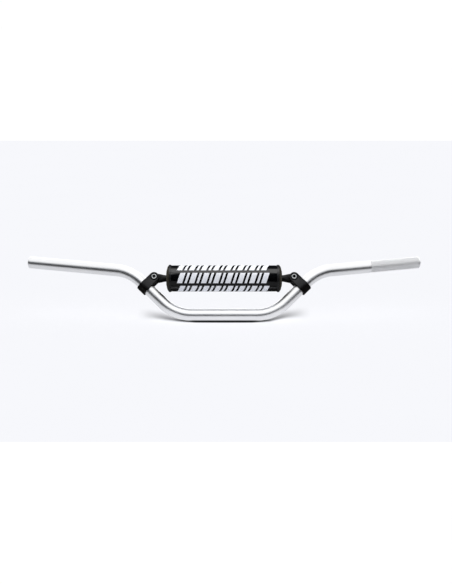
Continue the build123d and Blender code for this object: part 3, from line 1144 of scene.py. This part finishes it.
def painted_contact_shadow(nt, v):
    """The painted contact shadow on the floor under the tube: black where it touches, thinning out and drifting back as
    the legs rise.
    """
    sep = nt.nodes.new("ShaderNodeSeparateXYZ")
    nt.links.new(v, sep.inputs[0])
    ax = math_node(nt, "ABSOLUTE", sep.outputs["X"])
    t = math_node(nt, "DIVIDE", ax, 0.170)
    at = [0, 52, 63, 74, 85, 96, 108, 119, 130, 141, 152, 164]
    dark = [0.996, 0.996, 0.985, 0.95, 0.86, 0.74, 0.64, 0.51, 0.385, 0.25, 0.10, 0.0]
    line = [-17, -16, -10, -4, 4, 20, 37, 52, 65, 79, 92, 104]
    front = [7, 7, 8.5, 11, 13, 17, 20, 23, 28, 36, 46, 50]
    flat = [20, 19, 14, 8, 3, 0, 0, 0, 0, 0, 0, 0]
    back = [12, 12, 18, 30, 42, 60, 80, 92, 92, 92, 92, 92]

    def curve(vals, lo, hi):
        r = ramp(nt, t, [(x / 170.0, ((w - lo) / (hi - lo),) * 3) for x, w in zip(at, vals)])
        return math_node(nt, "MULTIPLY_ADD", r, (hi - lo), lo)

    density = curve(dark, 0.0, 1.0)
    yc = curve(line, -20.0, 110.0)
    half = curve(front, 0.0, 60.0)
    y = math_node(nt, "MULTIPLY", sep.outputs["Y"], 1000.0)
    # the left and right wings are not quite alike
    side = math_node(nt, "MULTIPLY", math_node(nt, "SIGN", sep.outputs["X"], 0.0), span(nt, ax, 0.085, 0.110, 0.0, 9.0))
    dy = math_node(nt, "SUBTRACT", math_node(nt, "SUBTRACT", y, yc), side)

    def ease(val):
        m = nt.nodes.new("ShaderNodeMapRange")
        m.interpolation_type = "SMOOTHSTEP"
        nt.links.new(val, m.inputs["Value"])
        m.inputs["From Min"].default_value, m.inputs["From Max"].default_value = 0.0, 1.0
        m.inputs["To Min"].default_value, m.inputs["To Max"].default_value = 1.0, 0.0
        return m.outputs["Result"]

    ahead = ease(math_node(nt, "DIVIDE", math_node(nt, "MULTIPLY", dy, -0.5), half))
    behind = ease(math_node(nt, "DIVIDE", math_node(nt, "SUBTRACT", dy, curve(flat, 0.0, 20.0)), curve(back, 0.0, 100.0)))
    return math_node(nt, "MULTIPLY", density, math_node(nt, "MULTIPLY", ahead, behind))


PALE = (0.792, 0.801, 0.838)


def floor_plane():
    x0, x1, y0, y1, z = -60, 60, -60, 160, FLOOR_Z * 0.001
    me = bpy.data.meshes.new("floor")
    me.from_pydata([(x0, y0, z), (x1, y0, z), (x1, y1, z), (x0, y1, z)], [], [(0, 1, 2, 3)])
    o = bpy.data.objects.new("floor", me)
    scene.collection.objects.link(o)
    m, nt, p = material("floor_paper")
    v = coords(nt)
    paper = ramp(nt, noise(nt, v, 3.0, 2.0), [(0.3, PALE), (0.7, tuple(c * 1.004 for c in PALE))])
    # the pale sheet ends in white floor 4.78 m behind and 1.08 m in front
    sep = nt.nodes.new("ShaderNodeSeparateXYZ")
    nt.links.new(v, sep.inputs[0])
    off = math_node(nt, "GREATER_THAN", math_node(nt, "ABSOLUTE", math_node(nt, "SUBTRACT", sep.outputs["Y"], 1.8475)), 2.9275)
    white = nt.nodes.new("ShaderNodeMix")
    white.data_type = "RGBA"
    nt.links.new(off, white.inputs["Factor"])
    nt.links.new(paper, white.inputs[6])
    white.inputs[7].default_value = (0.88, 0.88, 0.88, 1)
    # painted contact shadow: the floor's colour is mixed toward black under the tube
    mx = nt.nodes.new("ShaderNodeMix")
    mx.data_type = "RGBA"
    nt.links.new(painted_contact_shadow(nt, v), mx.inputs["Factor"])
    nt.links.new(white.outputs[2], mx.inputs[6])
    mx.inputs[7].default_value = (0.004, 0.004, 0.005, 1)
    nt.links.new(mx.outputs[2], p.inputs["Base Color"])
    p.inputs["Roughness"].default_value = 0.9
    p.inputs["Specular IOR Level"].default_value = 0.0
    me.materials.append(m)
    o.visible_glossy = False
    return o


floor = floor_plane()
ON_FLOOR = bpy.data.collections.new("on_floor")
ON_FLOOR.objects.link(floor)


def glow(name, me, receivers):
    """An emissive stage object that only glossy rays from the given pieces see."""
    o = bpy.data.objects.new(name, me)
    scene.collection.objects.link(o)
    m = bpy.data.materials.new(name + "_glow")
    m.use_nodes = True
    nt = m.node_tree
    nt.nodes.clear()
    out = nt.nodes.new("ShaderNodeOutputMaterial")
    em = nt.nodes.new("ShaderNodeEmission")
    clear = nt.nodes.new("ShaderNodeBsdfTransparent")
    both = nt.nodes.new("ShaderNodeAddShader")
    nt.links.new(em.outputs[0], both.inputs[0])
    nt.links.new(clear.outputs[0], both.inputs[1])
    nt.links.new(both.outputs[0], out.inputs["Surface"])
    me.materials.append(m)
    o.visible_camera = o.visible_diffuse = o.visible_shadow = o.visible_transmission = False
    o.light_linking.receiver_collection = receivers
    return nt, em


def floor_card(name, level, front, receivers, lift, strength=None):
    """The stretch of floor that the part mirrors, its brightness a function of the distance from the middle and the depth."""
    z = (FLOOR_Z + lift) * 0.001
    pts = [(x, y, z) for x, y in front + [(-x, y) for x, y in reversed(front)] + [(1.3, 0.7), (-1.3, 0.7)]]
    me = bpy.data.meshes.new(name)
    me.from_pydata(pts, [], [tuple(range(len(pts)))])
    nt, em = glow(name, me, receivers)
    v = coords(nt)
    nt.links.new(ramp(nt, noise(nt, v, 3.0, 2.0), [(0.3, tuple(c * level * 0.99 for c in (0.985, 0.99, 1.02))), (0.7, tuple(c * level * 1.01 for c in (0.985, 0.99, 1.02)))]), em.inputs["Color"])
    if strength:
        sep = nt.nodes.new("ShaderNodeSeparateXYZ")
        nt.links.new(v, sep.inputs[0])
        nt.links.new(strength(nt, math_node(nt, "ABSOLUTE", sep.outputs["X"]), sep.outputs["Y"]), em.inputs["Strength"])


def under_tube(nt, ax, y):
    """Dimmer further out, and dark right under the tube, where it sees its own contact shadow."""
    t = math_node(nt, "DIVIDE", ax, 0.2)
    edge = ramp(nt, t, [(v / 200.0, ((w + 10) / 100.0,) * 3) for v, w in ((0, -5), (58, -5), (75, -1), (90, 8), (120, 24), (150, 44), (190, 60))])
    edge = math_node(nt, "MULTIPLY_ADD", edge, 0.100, -0.010)
    much = ramp(nt, t, [(v / 200.0, (w,) * 3) for v, w in ((0, 1.0), (58, 1.0), (75, 0.9), (110, 0.6), (150, 0.35), (195, 0.0))])
    hid = span(nt, math_node(nt, "SUBTRACT", y, edge), -0.002, 0.002, 0.0, 1.0)
    lit = math_node(nt, "MULTIPLY_ADD", math_node(nt, "MULTIPLY", hid, much), -1.0, 1.0)
    return math_node(nt, "MULTIPLY", lit, span(nt, ax, 0.12, 0.20, 1.0, 0.84))


def tent(name, level, receivers, rad=6.0, ends=None):
    """A reflector round the bar's long axis. Its brightness depends on its angle above the front horizon.
    `ends`: past 1-3 m from the middle, where the swept-back ends look, how many degrees higher it starts on each side, and its level."""
    half = 9.0
    ang = np.radians(np.linspace(-2.0, 178.0, 91))
    pts = [(x, -rad * math.cos(t), rad * math.sin(t)) for t in ang for x in (-half, half)]
    faces = [(2 * i, 2 * i + 1, 2 * i + 3, 2 * i + 2) for i in range(len(ang) - 1)]
    me = bpy.data.meshes.new(name)
    me.from_pydata(pts, [], faces)
    nt, em = glow(name, me, receivers)
    sep = nt.nodes.new("ShaderNodeSeparateXYZ")
    nt.links.new(coords(nt), sep.inputs[0])
    t = math_node(nt, "ARCTAN2", sep.outputs["Z"], math_node(nt, "MULTIPLY", sep.outputs["Y"], -1.0))
    t = math_node(nt, "MULTIPLY", t, 1 / math.pi)
    if ends:
        near_front = span(nt, t, 0.35, 0.60, 1.0, 0.0)
        lift = math_node(nt, "ADD", span(nt, sep.outputs["X"], -3.0, -1.0, ends[0] / 180.0, 0.0), span(nt, sep.outputs["X"], 1.0, 3.0, 0.0, ends[1] / 180.0))
        t = math_node(nt, "SUBTRACT", t, math_node(nt, "MULTIPLY", near_front, lift))
    stops = []
    for d, v in level:
        hue = (0.88, 0.96, 1.10) if v < 0.5 else (1.0, 1.0, 1.0)
        stops.append((max(0.0, d / 180.0), tuple(c * v / 8 for c in hue)))
    nt.links.new(ramp(nt, t, stops), em.inputs["Color"])
    if ends:
        nt.links.new(span(nt, math_node(nt, "ABSOLUTE", sep.outputs["X"]), 1.0, 3.0, 8.0, 8.0 * ends[2]), em.inputs["Strength"])
    else:
        em.inputs["Strength"].default_value = 8.0


def backdrop():
    """A white dome behind everything, for the camera only, so that no view sees past the edge of the floor."""
    bm = bmesh.new()
    bmesh.ops.create_uvsphere(bm, u_segments=96, v_segments=48, radius=28.0)
    me = bpy.data.meshes.new("backdrop")
    bm.to_mesh(me)
    bm.free()
    o = bpy.data.objects.new("backdrop", me)
    scene.collection.objects.link(o)
    m = bpy.data.materials.new("backdrop_paper")
    m.use_nodes = True
    nt = m.node_tree
    nt.nodes.clear()
    out = nt.nodes.new("ShaderNodeOutputMaterial")
    em = nt.nodes.new("ShaderNodeEmission")
    nt.links.new(ramp(nt, noise(nt, coords(nt), 0.05, 2.0), [(0.3, (1.0, 1.0, 1.0)), (0.7, (1.02, 1.02, 1.02))]), em.inputs["Color"])
    nt.links.new(em.outputs[0], out.inputs["Surface"])
    m.cycles.emission_sampling = "NONE"
    me.materials.append(m)
    o.visible_diffuse = o.visible_glossy = o.visible_shadow = o.visible_transmission = o.visible_volume_scatter = False


backdrop()
tent("tube_tent", [(0, 0.02), (7, 0.02), (18, 0.48), (22, 0.75), (32, 1.42), (92, 1.38), (104, 1.20), (125, 1.45), (178, 1.90)], ON_TUBE, 6.0, (13.0, 5.0, 0.84))
tent("pad_tent", [(0, 0.01), (20, 0.02), (38, 0.05), (52, 0.12), (62, 2.20), (95, 2.10), (108, 0.04), (178, 0.04)], ON_PAD, 6.2)
tent("hardware_tent", [(0, 0.01), (10, 0.02), (24, 0.12), (36, 0.44), (60, 1.50), (100, 1.40), (116, 0.20), (178, 0.15)], ON_HARDWARE, 6.4)
floor_card("tube_card", 0.93, [(-1.3, -0.04), (-0.37, -0.065), (-0.20, -0.085), (-0.15, -0.120), (-0.108, -0.086), (-0.085, -0.045)], ON_TUBE, 0.15, under_tube)
floor_card("pad_card", 0.26, [(-1.3, -0.21), (-0.13, -0.21)], ON_PAD, 0.30, lambda nt, ax, y: span(nt, y, -0.050, -0.005, 1.0, 0.22))
floor_card("hardware_card", 0.06, [(-1.3, -0.16), (-0.13, -0.16)], ON_HARDWARE, 0.45)

world = bpy.data.worlds.new("studio")
scene.world = world
world.use_nodes = True
bg = world.node_tree.nodes["Background"]
bg.inputs["Color"].default_value = (0.965, 0.975, 1.0, 1)
bg.inputs["Strength"].default_value = 0.06
world.cycles_visibility.glossy = False


def sun(name, energy, angle, elev, receivers, colour=(1.0, 1.0, 1.0), shadow=True):
    """A soft distant light at an elevation measured from the front horizon."""
    li = bpy.data.lights.new(name, "SUN")
    li.energy, li.angle, li.color, li.use_shadow = energy, math.radians(angle), colour, shadow
    o = bpy.data.objects.new(name, li)
    scene.collection.objects.link(o)
    o.visible_glossy = False
    e = math.radians(elev)
    o.rotation_mode = "QUATERNION"
    o.rotation_quaternion = Vector((0, -math.cos(e), math.sin(e))).to_track_quat("Z", "Y")
    o.light_linking.receiver_collection = receivers


sun("overhead", 3.62, 80, 109, ON_PART, (1.0, 0.995, 0.985))
sun("front_fill", 1.18, 60, 55, ON_PART)
sun("on_paper", 3.50, 20, 90, ON_FLOOR, (1.0, 0.995, 0.985), False)

E = math.radians(8.0)
DIST, MM_PER_PX = 4.0, 1.85
fwd = Vector((0, math.cos(E), -math.sin(E)))
up = Vector((0, math.sin(E), math.cos(E)))
right = Vector((1, 0, 0))
cam = bpy.data.cameras.new("camera")
co = bpy.data.objects.new("camera", cam)
scene.collection.objects.link(co)
cam.sensor_width = 36.0
cam.lens = DIST / (MM_PER_PX * 0.001) / 584.0 * 36.0
co.location = -fwd * DIST - right * ((224.11 - 226.0) * MM_PER_PX * 0.001) - up * ((292.0 - 314.81) * MM_PER_PX * 0.001)
co.rotation_mode = "QUATERNION"
co.rotation_quaternion = (-fwd).to_track_quat("Z", "Y")
cam.clip_start, cam.clip_end = 0.05, 500
scene.camera = co

bpy.context.view_layer.update()
